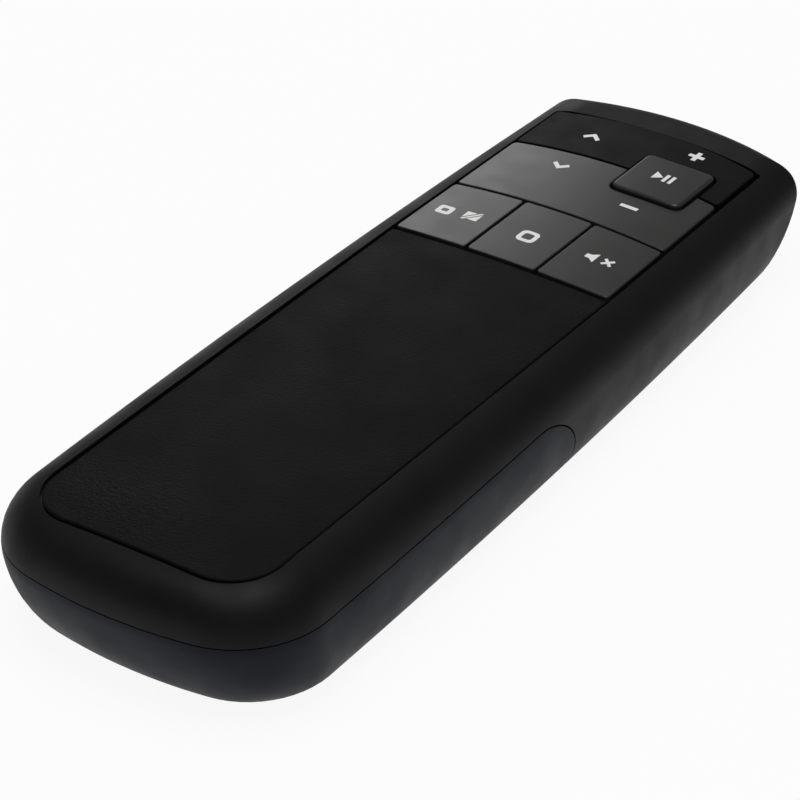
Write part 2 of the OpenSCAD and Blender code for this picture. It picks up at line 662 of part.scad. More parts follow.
// Board and what is on it
module main_board() color([0.05, 0.3, 0.15]) difference() {
    translate([0, 0, board_low]) linear_extrude(board_t) polygon([
        [-board_half, board_y0], [board_half, board_y0], [board_half, board_y1 - board_cut],
        [board_half - board_cut, board_y1], [board_cut - board_half, board_y1],
        [-board_half, board_y1 - board_cut]]);
    hole(boss_r + hole_gap, front_screw_x, front_screw_y, 0, BIG);
    hole(board_screw_r + hole_gap, board_screw_x, board_screw_y, 0, BIG);
}
module switch_bodies() color([0.12, 0.12, 0.13]) for (p = switch_spots) difference() {
    translate([p[0], p[1], board_z + switch_h / 2]) cube([switch_w, switch_w, switch_h], center = true);
    tube_z(plunger_r + plunger_play, p[0], p[1], switch_top - bore_depth, BIG);
}
module plunger(i) color([0.8, 0.3, 0.2])
    tube_z(plunger_r, switch_spots[i][0], switch_spots[i][1], plunger_top - plunger_l, plunger_top);
module start_plunger() plunger(0);
module screen_plunger() plunger(1);
module mute_plunger() plunger(2);
module play_plunger() plunger(3);
module page_down_plunger() plunger(4);
module volume_down_plunger() plunger(5);
module page_up_plunger() plunger(6);
module volume_up_plunger() plunger(7);
module on_underside(x, y, w, l, h)
    box(x - w / 2, x + w / 2, y - l / 2, y + l / 2, board_low - h, board_low);
module radio_chip() color([0.1, 0.1, 0.1]) on_underside(radio[0], radio_y, radio[0], radio[0], radio[1]);
module crystal() color("silver")
    on_underside(-radio[0], radio_y, crystal_size[0], crystal_size[1], crystal_size[2]);
module power_coil() color([0.2, 0.2, 0.22])
    tube_z(coil_size[0], 0, board_screw_y + 3 * coil_size[0], board_low - coil_size[1], board_low);
module small_capacitors() color([0.6, 0.5, 0.35]) for (i = [0:5])
    on_underside(capacitor_pitch * (i - 2.5), row_y - 2 * capacitor_pitch,
        capacitor[0], capacitor[1], capacitor[2]);

// Cells and contacts
// One cell along Y from its flat end at y; s = 1 puts the nub to the head, -1 to the tail
module cell(x, y, s) translate([x, y, cell_z]) rotate([s > 0 ? -90 : 90, 0, 0]) {
    cylinder(r = cell_d / 2, h = cell_l - nub_h);
    cylinder(r = nub_r, h = cell_l);
}
module battery_left() color([0.25, 0.3, 0.35]) cell(cell_x, cell_front - cell_l, 1);
module battery_right() color([0.25, 0.3, 0.35]) cell(cell_x + cell_pitch, cell_back + cell_l, -1);
module contact(x0, x1, y) box(x0 - contact_half, x1 + contact_half, y, y + plate_t,
    contact_z0, contact_z1);
// A contact's tab: out of the bay, up or down in front of it, and on over the board
module tab(x) {
    x0 = x - tab_w / 2;
    x1 = x + tab_w / 2;
    bend_y = cradle_front + board_gap / 2;
    box(x0, x1, cell_front, bend_y, tab_z, tab_z + plate_t);
    box(x0, x1, bend_y - plate_t, bend_y, min(tab_z, board_z), max(tab_z, board_z) + plate_t);
    box(x0, x1, bend_y - plate_t, board_y0 + tab_l, board_z, board_z + plate_t);
}
module bridge_contact() color("silver") contact(cell_x, cell_x + cell_pitch, bay_back + plate_gap);
module plus_contact() color("silver") {
    contact(cell_x, cell_x, cell_front);
    tab(cell_x);
}
module minus_contact() color("silver") {
    contact(cell_x + cell_pitch, cell_x + cell_pitch, cell_front);
    tab(cell_x + cell_pitch);
}
// Coil spring along +Y: a six-sided wire swept round a helix.
module coil_spring(x, y) {
    sides = 6;
    steps = spring_turns * 12;
    run = spring_l - 2 * spring_wire;
    points = [for (i = [0:steps], j = [0:sides - 1])
        let (t = 360 * spring_turns * i / steps, a = 360 * j / sides, r = coil_r + spring_wire * cos(a))
        [x + r * cos(t), y + spring_wire + run * i / steps + spring_wire * sin(a), cell_z + r * sin(t)]];
    faces = [for (i = [0:steps - 1], j = [0:sides - 1]) let (k = (j + 1) % sides) each [
        [i * sides + j, (i + 1) * sides + k, (i + 1) * sides + j],
        [i * sides + j, i * sides + k, (i + 1) * sides + k]]];
    polyhedron(points, concat([[for (j = [0:sides - 1]) sides - 1 - j]], faces,
        [[for (j = [0:sides - 1]) steps * sides + j]]));
}
module tail_spring() color("silver") coil_spring(cell_x, cell_back);
module front_spring() color("silver") coil_spring(cell_x + cell_pitch, cell_front - spring_l);

// USB receiver, stored with its plug in the cradle's dock
module receiver_plug() color("silver") difference() {
    along_y(receiver_x, cap_y - plug_l, receiver_z, plug_l) square([plug_w, plug_t], center = true);
    along_y(receiver_x, cap_y - plug_l - 1, receiver_z, plug_l + 2)
        square([plug_w - 2 * plug_wall, plug_t - 2 * plug_wall], center = true);
}
module receiver_tongue() color([0.9, 0.9, 0.92])
    box(receiver_x - tongue_w / 2, receiver_x + tongue_w / 2, cap_y - plug_l + plug_wall, cap_y,
        receiver_z - plug_t / 2 + plug_wall + FIT, receiver_z - FIT);
module receiver_cap() color([0.1, 0.1, 0.11])
    along_y(receiver_x, cap_y, receiver_z, receiver_l) rounded(receiver_w, receiver_t, cap_r);

// Screws, each pointing up from its seat at z, with a cross recess in its head
module screw(r, head_r, head_h, l, z) difference() {
    union() {
        translate([0, 0, z - head_h]) cylinder(r = head_r, h = head_h);
        translate([0, 0, z - FIT]) cylinder(r = r, h = l);
    }
    for (a = [0, 90]) rotate([0, 0, a]) translate([0, 0, z - head_h])
        cube([head_r * 1.2, head_r * 0.28, head_h], center = true);
}
module case_screw(z) screw(screw_r, screw_head_r, screw_head_h, screw_l, z);
module case_screws() color("silver") {
    at_sides(front_screw_x, front_screw_y) case_screw(shelf_z - seat_t);
    at_sides(tail_screw_x, tail_screw_y) case_screw(tail_seat_z);
}
module board_screws() color("silver") at_sides(board_screw_x, board_screw_y)
    screw(board_screw_r, 2 * board_screw_r, board_screw_head, board_screw_l, board_low);

top_casing();
bottom_casing();
battery_cover();
grip_pad();
start_key();
screen_key();
mute_key();
play_key();
upper_rocker();
lower_rocker();
key_frame();
rocker_pins();
main_board();
switch_bodies();
start_plunger();
screen_plunger();
mute_plunger();
play_plunger();
page_up_plunger();
volume_up_plunger();
page_down_plunger();
volume_down_plunger();
radio_chip();
crystal();
power_coil();
small_capacitors();
battery_left();
battery_right();
bridge_contact();
plus_contact();
minus_contact();
tail_spring();
front_spring();
receiver_plug();
receiver_tongue();
receiver_cap();
case_screws();
board_screws();
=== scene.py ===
"""Wireless presentation clicker: smooth shells, a soft grip pad, keys with printed symbols,
and moulded, plated and printed finishes for every part inside.

Sizes are in millimetres and become metres where a mesh is placed.
"""

import logging
import math
from dataclasses import dataclass, field
from enum import Enum
from typing import Callable

import bmesh
import bpy
from mathutils import Matrix, Vector


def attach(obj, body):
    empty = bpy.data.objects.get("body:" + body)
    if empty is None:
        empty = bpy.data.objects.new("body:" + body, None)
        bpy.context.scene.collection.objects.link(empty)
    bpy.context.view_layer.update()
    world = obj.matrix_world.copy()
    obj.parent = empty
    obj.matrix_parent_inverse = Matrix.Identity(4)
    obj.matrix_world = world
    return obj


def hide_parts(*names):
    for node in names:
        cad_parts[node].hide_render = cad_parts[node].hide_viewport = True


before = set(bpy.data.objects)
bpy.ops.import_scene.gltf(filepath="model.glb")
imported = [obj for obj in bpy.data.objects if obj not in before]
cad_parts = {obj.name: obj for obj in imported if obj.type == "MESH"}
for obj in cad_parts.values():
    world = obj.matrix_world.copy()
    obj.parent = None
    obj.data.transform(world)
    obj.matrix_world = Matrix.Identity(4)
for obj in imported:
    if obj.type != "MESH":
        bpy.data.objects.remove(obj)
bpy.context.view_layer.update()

MM = 0.001
NOISE_SPAN = (0.3, 0.7)  # where nearly all of the noise's values lie
SMOOTH_ANGLE = math.radians(32)  # edges flatter than this are shaded smooth
RIM_ANGLE = 0.5  # least angle in radians between two marks for a rim
RIM_STEPS = 3
OVER = 30.0  # a level in mm above the whole object
LOG = logging.getLogger("clicker")
Point = tuple[float, float]


# ---------------------------------------------------------------- finishes


def linear(code: str) -> tuple[float, float, float, float]:
    """Turns an sRGB hex colour into linear light.

    Args:
        code: The colour as "#rrggbb".

    Returns:
        Red, green, blue and alpha.
    """
    parts = [int(code[i : i + 2], 16) / 255 for i in (1, 3, 5)]
    parts = [p / 12.92 if p <= 0.04045 else ((p + 0.055) / 1.055) ** 2.4 for p in parts]
    return (parts[0], parts[1], parts[2], 1.0)


def add_node(tree: bpy.types.NodeTree, kind: str, links: dict | None = None,
             **settings) -> bpy.types.Node:
    """Adds one node with its settings and what feeds it.

    Args:
        tree: The node tree.
        kind: The node's type name.
        links: Socket name or index to the output socket or plain value that goes in.
        settings: Properties of the node.

    Returns:
        The new node.
    """
    node = tree.nodes.new(kind)
    for name, value in settings.items():
        setattr(node, name, value)
    for name, value in (links or {}).items():
        socket = node.inputs[name]
        if isinstance(value, bpy.types.NodeSocket):
            tree.links.new(value, socket)
        else:
            socket.default_value = value
    return node


@dataclass(frozen=True)
class Finish:
    """One surface finish: a base colour that drifts between two tones, a grain, and its gloss.

    Attributes:
        name: The finish in a maker's words.
        dark: The darker tone, sRGB hex.
        light: The lighter tone, sRGB hex.
        roughness: Middle roughness.
        drift: How much the roughness drifts from place to place.
        blotch: Size of the tone's drift in mm.
        grain: Size of the surface grain in mm.
        depth: Height of the grain in mm.
        metallic: 1 for bare metal.
        specular: Specular level, 0.5 for a plain dielectric.
        coat: Weight of a clear film.
        coat_roughness: Roughness of that film.
    """

    name: str
    dark: str
    light: str
    roughness: float
    drift: float = 0.06
    blotch: float = 6.0
    grain: float = 0.5
    depth: float = 0.004
    metallic: float = 0.0
    specular: float = 0.5
    coat: float = 0.0
    coat_roughness: float = 0.12

    def material(self) -> bpy.types.Material:
        """Returns the finish's material, made once."""
        known = bpy.data.materials.get(self.name)
        if known:
            return known
        made = bpy.data.materials.new(self.name)
        made.use_nodes = True
        tree = made.node_tree
        tree.nodes.clear()
        place = add_node(tree, "ShaderNodeTexCoord").outputs["Object"]
        self.build(tree, place)
        return made

    def build(self, tree: bpy.types.NodeTree, place: bpy.types.NodeSocket) -> None:
        """Wires tone, roughness and grain into one shader.

        Args:
            tree: The material's node tree.
            place: Object coordinates, in metres.
        """
        drift = add_node(tree, "ShaderNodeTexNoise",
                         {"Vector": place, "Scale": 1 / (self.blotch * MM), "Detail": 3.0})
        tone = self.tone(tree, place, drift.outputs["Fac"])
        rough = add_node(tree, "ShaderNodeMapRange",
                         {"Value": drift.outputs["Fac"],
                          "From Min": NOISE_SPAN[0], "From Max": NOISE_SPAN[1],
                          "To Min": self.roughness - self.drift, "To Max": self.roughness + self.drift})
        height = self.relief(tree, place)
        bump = add_node(tree, "ShaderNodeBump",
                        {"Height": height, "Distance": self.depth * MM, "Strength": 1.0})
        shader = add_node(tree, "ShaderNodeBsdfPrincipled",
                          {"Base Color": tone, "Roughness": rough.outputs["Result"],
                           "Normal": bump.outputs["Normal"], "Metallic": self.metallic,
                           "Specular IOR Level": self.specular, "Coat Weight": self.coat,
                           "Coat Roughness": self.coat_roughness})
        add_node(tree, "ShaderNodeOutputMaterial", {"Surface": shader.outputs["BSDF"]})

    def tone(self, tree: bpy.types.NodeTree, place: bpy.types.NodeSocket,
             drift: bpy.types.NodeSocket) -> bpy.types.NodeSocket:
        """Returns the colour output: the two tones mixed by the slow drift."""
        mix = add_node(tree, "ShaderNodeMix",
                       {"Factor": drift, 6: linear(self.dark), 7: linear(self.light)}, data_type="RGBA")
        return mix.outputs[2]

    def relief(self, tree: bpy.types.NodeTree, place: bpy.types.NodeSocket) -> bpy.types.NodeSocket:
        """Returns the height output: fine, even grain."""
        grain = add_node(tree, "ShaderNodeTexNoise",
                         {"Vector": place, "Scale": 1 / (self.grain * MM), "Detail": 2.0,
                          "Roughness": 0.6})
        return grain.outputs["Fac"]


@dataclass(frozen=True)
class PebbledRubber(Finish):
    """Soft elastomer skin: tight rounded pebbles under a dry, almost lightless surface."""

    def relief(self, tree: bpy.types.NodeTree, place: bpy.types.NodeSocket) -> bpy.types.NodeSocket:
        """Returns the height output: round cells with fine noise over them."""
        cells = add_node(tree, "ShaderNodeTexVoronoi",
                         {"Vector": place, "Scale": 1 / (self.grain * MM)}, feature="SMOOTH_F1")
        fine = add_node(tree, "ShaderNodeTexNoise",
                        {"Vector": place, "Scale": 2.5 / (self.grain * MM), "Detail": 2.0})
        both = add_node(tree, "ShaderNodeMath",
                        {0: fine.outputs["Fac"], 1: cells.outputs["Distance"]}, operation="SUBTRACT")
        return both.outputs[0]


@dataclass(frozen=True)
class DrawnMetal(Finish):
    """Plated sheet or wire: hair-thin drawing lines run one way."""

    def relief(self, tree: bpy.types.NodeTree, place: bpy.types.NodeSocket) -> bpy.types.NodeSocket:
        """Returns the height output: noise stretched along Y."""
        long = add_node(tree, "ShaderNodeMapping", {"Vector": place, "Scale": (1.0, 0.05, 1.0)})
        lines = add_node(tree, "ShaderNodeTexNoise",
                         {"Vector": long.outputs["Vector"], "Scale": 1 / (self.grain * MM), "Detail": 3.0})
        return lines.outputs["Fac"]


# ABS, injection moulded in a lightly eroded tool: a deep black with a soft broad sheen.
CASING_BLACK = Finish("satin black ABS", "#0a0a0b", "#0f0f10", 0.52, specular=0.17, grain=0.35,
                      depth=0.003)
# The same ABS with blue-black pigment, as moulded for the sliding cover.
CASING_SLATE = Finish("blue-black ABS", "#0b0f18", "#101522", 0.52, specular=0.125, grain=0.35,
                      depth=0.003)
# Overmoulded thermoplastic elastomer with a fine pebble, about 0.4 mm across.
GRIP_RUBBER = PebbledRubber("pebbled elastomer", "#080808", "#0e0e0e", 0.52, specular=0.062,
                            blotch=9.0, grain=0.38, depth=0.03)
# Key caps in grey ABS, spark eroded to a silk surface.
KEY_GREY = Finish("silk grey ABS", "#212120", "#282827", 0.32, drift=0.03, blotch=4.0, grain=0.3)
KEY_DARK = Finish("silk near-black ABS", "#0c0c0c", "#111111", 0.48, specular=0.07, blotch=4.0, grain=0.3)
# Pad-printed ink: opaque white, a little chalky.
WHITE_INK = Finish("white pad-print ink", "#f0f0ee", "#fbfbfa", 0.6, blotch=0.6, grain=0.08, depth=0.002)
FRAME_PLASTIC = Finish("matt black PC", "#2b2b2d", "#353538", 0.6)
SWITCH_BLACK = Finish("black nylon switch body", "#1a1a1a", "#242424", 0.55)
PLUNGER_RED = Finish("red acetal plunger", "#a52c1c", "#bd3a28", 0.4)
CHIP_BLACK = Finish("black epoxy", "#121212", "#1e1e1e", 0.6, grain=0.15)
CAPACITOR_TAN = Finish("fired ceramic", "#7a6242", "#947a54", 0.5, grain=0.2)
CONTACT_STEEL = DrawnMetal("nickel-plated spring steel", "#b9b8b2", "#cfcec8", 0.28, metallic=1.0,
                           grain=0.2)
SCREW_STEEL = DrawnMetal("zinc-plated steel", "#a4a6a8", "#bcbec0", 0.34, metallic=1.0, grain=0.25)
PLUG_STEEL = DrawnMetal("bright stamped steel", "#c4c5c6", "#d8d9da", 0.2, metallic=1.0, grain=0.3)
CELL_SLEEVE = Finish("shrunk film sleeve", "#252d38", "#323c4a", 0.25, coat=0.4, blotch=3.0)
TONGUE_WHITE = Finish("white LCP", "#d2d2cf", "#e2e2de", 0.5)
RECEIVER_BLACK = Finish("satin black PC", "#101011", "#171718", 0.35)
BOARD_GREEN = Finish("green solder mask", "#0e4a2a", "#176338", 0.3, coat=0.3, blotch=2.0, grain=0.4)

SLOT_FINISHES: dict[str, Finish] = {
    "casing_black": CASING_BLACK, "casing_slate": CASING_SLATE, "grip_rubber": GRIP_RUBBER,
    "key_grey": KEY_GREY, "key_dark": KEY_DARK, "frame_plastic": FRAME_PLASTIC,
    "board_green": BOARD_GREEN, "switch_black": SWITCH_BLACK, "plunger_red": PLUNGER_RED,
    "chip_black": CHIP_BLACK, "capacitor_tan": CAPACITOR_TAN, "contact_steel": CONTACT_STEEL,
    "screw_steel": SCREW_STEEL, "cell_sleeve": CELL_SLEEVE, "plug_steel": PLUG_STEEL,
    "tongue_white": TONGUE_WHITE, "receiver_black": RECEIVER_BLACK,
}


# ---------------------------------------------------------------- modelling by operator


class Mode(Enum):
    """What the next operator acts on."""

    EDIT = "EDIT"
    OBJECT = "OBJECT"


def switch(mode: Mode) -> None:
    """Changes between edit mode and object mode."""
    if bpy.context.mode.split("_")[0] != mode.value:
        bpy.ops.object.mode_set(mode=mode.value)


def only(piece: bpy.types.Object) -> None:
    """Makes one piece the active and only selected one."""
    switch(Mode.OBJECT)
    bpy.ops.object.select_all(action="DESELECT")
    piece.select_set(True)
    bpy.context.view_layer.objects.active = piece


def apply_modifier(piece: bpy.types.Object, kind: str, **settings) -> None:
    """Adds a modifier with its settings and applies it.

    Args:
        piece: The piece to finish.
        kind: The modifier's type name.
        settings: Properties of the modifier.
    """
    only(piece)
    bpy.ops.object.modifier_add(type=kind)
    modifier = piece.modifiers[-1]
    for name, value in settings.items():
        setattr(modifier, name, value)
    bpy.ops.object.modifier_apply(modifier=modifier.name)


def cut(piece: bpy.types.Object, tool: bpy.types.Object, operation: str = "DIFFERENCE") -> None:
    """Takes a tool's volume from a piece, or keeps what they share, and drops the tool.

    The tool's faces carry its own material into the piece, so that an edge between skin and cut
    can be found again.
    """
    apply_modifier(piece, "BOOLEAN", object=tool, operation=operation, solver="EXACT",
                   material_mode="TRANSFER")
    bpy.data.objects.remove(tool)


def marker(name: str) -> bpy.types.Material:
    """Returns a plain material that only marks which faces came from where."""
    return bpy.data.materials.get(name) or bpy.data.materials.new(name)


class Rings:
    """A closed form drawn up from one ring of points, an extrusion for each further ring."""

    def __init__(self, name: str, ring: list[Vector], mark: str = "skin") -> None:
        """Adds the first ring as a circle and puts its points in place.

        Args:
            name: The piece's name.
            ring: The first ring's points, in mm.
            mark: The marker material's name.
        """
        switch(Mode.OBJECT)
        bpy.ops.object.select_all(action="DESELECT")
        bpy.ops.mesh.primitive_circle_add(vertices=len(ring), radius=0.01, fill_type="NGON")
        self.piece = bpy.context.object
        self.piece.name = self.piece.data.name = name
        self.piece.data.materials.append(marker(mark))
        switch(Mode.EDIT)
        bpy.ops.mesh.select_mode(type="VERT")
        bpy.ops.mesh.select_all(action="SELECT")
        mesh = bmesh.from_edit_mesh(self.piece.data)
        layer = mesh.verts.layers.int.new("place")
        mesh.verts.ensure_lookup_table()
        for i, v in enumerate(mesh.verts):
            v[layer] = i
        self._put(ring)

    def _put(self, ring: list[Vector]) -> None:
        """Moves the selected ring's points to their places."""
        mesh = bmesh.from_edit_mesh(self.piece.data)
        layer = mesh.verts.layers.int["place"]
        for v in mesh.verts:
            if v.select:
                v.co = ring[v[layer]] * MM
        bmesh.update_edit_mesh(self.piece.data)

    def up(self, ring: list[Vector]) -> None:
        """Extrudes the top face and puts the new ring in place."""
        bpy.ops.mesh.extrude_region_move()
        self._put(ring)

    def done(self) -> bpy.types.Object:
        """Leaves edit mode with faces outwards and returns the piece."""
        bpy.ops.mesh.select_all(action="SELECT")
        bpy.ops.mesh.normals_make_consistent(inside=False)
        bpy.ops.mesh.select_all(action="DESELECT")
        switch(Mode.OBJECT)
        return self.piece


def prism(name: str, outline: list[Point], z0: float, z1: float, mark: str = "skin") -> bpy.types.Object:
    """Draws a plan outline up into a prism.

    Args:
        name: The piece's name.
        outline: Plan points in mm, counter-clockwise.
        z0: Lower level in mm.
        z1: Upper level in mm.
        mark: The marker material's name.

    Returns:
        The prism.
    """
    rings = Rings(name, [Vector((x, y, z0)) for x, y in outline], mark)
    rings.up([Vector((x, y, z1)) for x, y in outline])
    return rings.done()


def bend(piece: bpy.types.Object, above: float, height: Callable[[float, float], float]) -> None:
    """Raises what lies above a level by a height that depends on its place.

    Args:
        piece: The piece.
        above: The level in mm.
        height: Gives the raise in mm from x and y in mm.
    """
    only(piece)
    for v in piece.data.vertices:
        if v.co.z > above * MM:
            v.co.z += height(v.co.x / MM, v.co.y / MM) * MM


def tube(name: str, r: float, bore: float, x: float, y: float, z0: float, z1: float,
         steps: int = 40, chamfer: float = 0.2, lid: float = 1.0) -> bpy.types.Object:
    """Makes an upright tube, open and chamfered below and closed by a lid."""
    around = [(math.cos(t), math.sin(t)) for t in (2 * math.pi * i / steps for i in range(steps))]
    levels = [(r, z1), (r, z0 + chamfer), (r - chamfer, z0), (bore, z0), (bore, z1 - lid)]
    rings = Rings(name, [Vector((x + levels[0][0] * c, y + levels[0][0] * s, z1)) for c, s in around])
    for radius, z in levels[1:]:
        rings.up([Vector((x + radius * c, y + radius * s, z)) for c, s in around])
    return rings.done()


def round_rims(piece: bpy.types.Object, width: float, marks: tuple[str, str]) -> None:
    """Bevels the edges where faces of two marks meet.

    Args:
        piece: The piece.
        width: Bevel width in mm.
        marks: The two marker names.
    """
    only(piece)
    names = [s.material.name if s.material else "" for s in piece.material_slots]
    switch(Mode.EDIT)
    bpy.ops.mesh.select_mode(type="EDGE")
    bpy.ops.mesh.select_all(action="DESELECT")
    mesh = bmesh.from_edit_mesh(piece.data)
    for e in mesh.edges:
        if len(e.link_faces) == 2:
            pair = {names[f.material_index] for f in e.link_faces}
            e.select = pair == set(marks) and e.calc_face_angle(0) > RIM_ANGLE
    bmesh.update_edit_mesh(piece.data)
    bpy.ops.mesh.bevel(offset=width * MM, segments=RIM_STEPS, profile=0.5, clamp_overlap=True)
    switch(Mode.OBJECT)


def dress(piece: bpy.types.Object, finish: Finish, body: str,
          nodes: tuple[str, ...] = ()) -> bpy.types.Object:
    """Gives a finished piece smooth shading, its material and body, and hides the CAD nodes that it stands
    for.
    """
    only(piece)
    bpy.ops.object.shade_smooth_by_angle(angle=SMOOTH_ANGLE)
    apply_modifier(piece, "WEIGHTED_NORMAL", keep_sharp=True)
    piece.data.materials.clear()
    piece.data.materials.append(finish.material())
    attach(piece, body)
    if nodes:
        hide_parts(*nodes)
    LOG.info("%s: %d faces on %s", piece.name, len(piece.data.polygons), body)
    return piece


def join(main: bpy.types.Object, others: list[bpy.types.Object]) -> bpy.types.Object:
    """Joins pieces into the first one."""
    only(main)
    for o in others:
        o.select_set(True)
    bpy.ops.object.join()
    return main


# ---------------------------------------------------------------- casing


@dataclass(frozen=True)
class TopPlane:
    """The flat top, which falls from the tail to the head, and the crown of what lies in it."""

    level_y: float = 17.6
    slope: float = 0.02445
    crown_r: float = 280.0

    def lift(self, y: float) -> float:
        """Returns how far the top stands above its level where the keys meet the pad."""
        return self.slope * (self.level_y - y)

    def crown(self, x: float) -> float:
        """Returns how far a crowned surface has dropped at x."""
        return math.sqrt(self.crown_r ** 2 - x ** 2) - self.crown_r

    def surface(self, x: float, y: float) -> float:
        """Returns the height of a crowned surface over its level."""
        return self.lift(y) + self.crown(x)


@dataclass(frozen=True)
class CasingForm:
    """The outer form: plan rings that lean, roll over at the top and tuck under at the floor."""

    plane: TopPlane = TopPlane()
    length: float = 128.4
    tail_w: float = 43.7
    head_w: float = 39.4
    side_bulge: float = 1.35
    head_h: float = 16.4
    widest_z: float = 10.7
    top_roll: float = 6.7
    bottom_roll: float = 4.6
    head_rake: float = 8.7
    tail_rake: float = 2.7
    tail_arc: float = 66.0
    tail_corner: float = 12.0
    head_arc: float = 50.0
    head_corner: float = 1.2
    inner_roll: float = 4.2
    end_steps: int = 9
    corner_steps: int = 12
    side_steps: int = 27
    low_steps: int = 12
    top_steps: int = 18

    def rake(self, z: float, reach: float) -> float:
        """Returns how far an end has leaned in at a level."""
        return reach * (max(self.head_h - z, 0) / self.head_h) ** 1.5

    def low_levels(self, z0: float) -> list[Point]:
        """Returns (z, inset) from the floor to the widest level."""
        steps = [math.pi / 2 * (1 - i / self.low_steps) for i in range(self.low_steps + 1)]
        return [(self.widest_z - (self.widest_z - z0) * math.sin(t), self.bottom_roll * (1 - math.cos(t)))
                for t in steps]

    def top_levels(self, z1: float, roll: float) -> list[Point]:
        """Returns (z, inset) from the widest level to the top."""
        steps = [math.pi / 2 * i / self.top_steps for i in range(1, self.top_steps + 1)]
        return [(self.widest_z + (z1 - self.widest_z) * math.sin(t), roll * (1 - math.cos(t)))
                for t in steps]

    def outer_levels(self) -> list[Point]:
        """Returns the levels of the outer form."""
        return self.low_levels(0) + self.top_levels(self.head_h, self.top_roll)

    def head_y(self) -> float:
        """Returns where the head end stands before it leans."""
        return self.length / 2 - max(-d / 2 - self.rake(z, self.head_rake) for z, d in self.outer_levels())

    def tail_y(self) -> float:
        """Returns where the tail end stands before it leans."""
        return -self.length / 2 - min(d + self.rake(z, self.tail_rake) for z, d in self.outer_levels())

    def bulge(self, y: float) -> float:
        """Returns how far the side stands out at a place along the length."""
        t = min(max(y / self.length + 0.5, 0), 1)
        return self.side_bulge * 4 * t * (1 - t)

    def half_end(self, w: float, big: float, small: float, y: float, s: int) -> list[Point]:
        """Returns one end from the centre line to the side: an end arc, then a corner arc."""
        r1, r2 = max(big, w / 2 + 1), min(max(small, 0.3), w / 2 - 1)
        y0 = y - s * r1
        rise = math.sqrt(max((r1 - r2) ** 2 - (w / 2 - r2) ** 2, 0.01))
        turn = math.atan2(w / 2 - r2, rise)
        arc = [turn * i / self.end_steps for i in range(self.end_steps)]
        corner = [turn + (math.pi / 2 - turn) * i / self.corner_steps
                  for i in range(self.corner_steps + 1)]
        return ([(r1 * math.sin(t), y0 + s * r1 * math.cos(t)) for t in arc]
                + [(w / 2 - r2 + r2 * math.sin(t), y0 + s * (rise + r2 * math.cos(t))) for t in corner])

    def side_y(self) -> list[float]:
        """Returns stations along the side, from the head to the tail, clear of every level's corners."""
        head = self.length / 2 - self.head_rake - self.head_corner
        tail = self.tail_corner + self.tail_rake - self.length / 2
        return [head + (tail - head) * i / self.side_steps for i in range(2, self.side_steps - 1)]

    def half_plan(self, z: float, d: float, inset: float) -> list[Point]:
        """Returns the right half of the plan at a level, from the head to the tail."""
        e = d + inset
        head = self.half_end(self.head_w - 2 * e, self.head_arc - e, self.head_corner - e / 2,
                             self.head_y() - d / 2 - inset - self.rake(z, self.head_rake), 1)
        tail = self.half_end(self.tail_w - 2 * e, self.tail_arc - e, self.tail_corner - e / 2,
                             self.tail_y() + e + self.rake(z, self.tail_rake), -1)
        a, b = head[-1], tail[-1]
        side = [(b[0] + (a[0] - b[0]) * (y - b[1]) / (a[1] - b[1]), y) for y in self.side_y()]
        half = head + side + tail[::-1]
        return [(x + (self.bulge(y) if x > 0.01 else 0), y) for x, y in half]

    def ring(self, z: float, d: float, inset: float, z1: float) -> list[Vector]:
        """Returns one closed ring, seen from above clockwise from the head."""
        k = min(max((z - self.widest_z) / (z1 - self.widest_z), 0), 1)
        right = [Vector((x, y, z + k * self.plane.lift(y))) for x, y in self.half_plan(z, d, inset)]
        return right + [Vector((-p.x, p.y, p.z)) for p in right[-2:0:-1]]

    def loft(self, name: str, levels: list[Point], inset: float, mark: str) -> bpy.types.Object:
        """Draws a closed form up through the levels."""
        z1 = levels[-1][0]
        rings = Rings(name, self.ring(*levels[0], inset, z1), mark)
        for z, d in levels[1:]:
            rings.up(self.ring(z, d, inset, z1))
        return rings.done()

    def outer(self, name: str) -> bpy.types.Object:
        """Makes the outer form."""
        return self.loft(name, self.outer_levels(), 0, "skin")

    def hollow(self, inset: float, z0: float, z1: float) -> bpy.types.Object:
        """Makes the space inside a wall."""
        levels = self.low_levels(z0) + self.top_levels(z1, self.inner_roll)
        return self.loft("hollow", levels, inset, "inside")

    def floor_outline(self, rim: float) -> list[Point]:
        """Returns the floor opening, inside its rim."""
        right = self.half_plan(0, self.bottom_roll, rim)
        return right + [(-x, y) for x, y in right[-2:0:-1]]


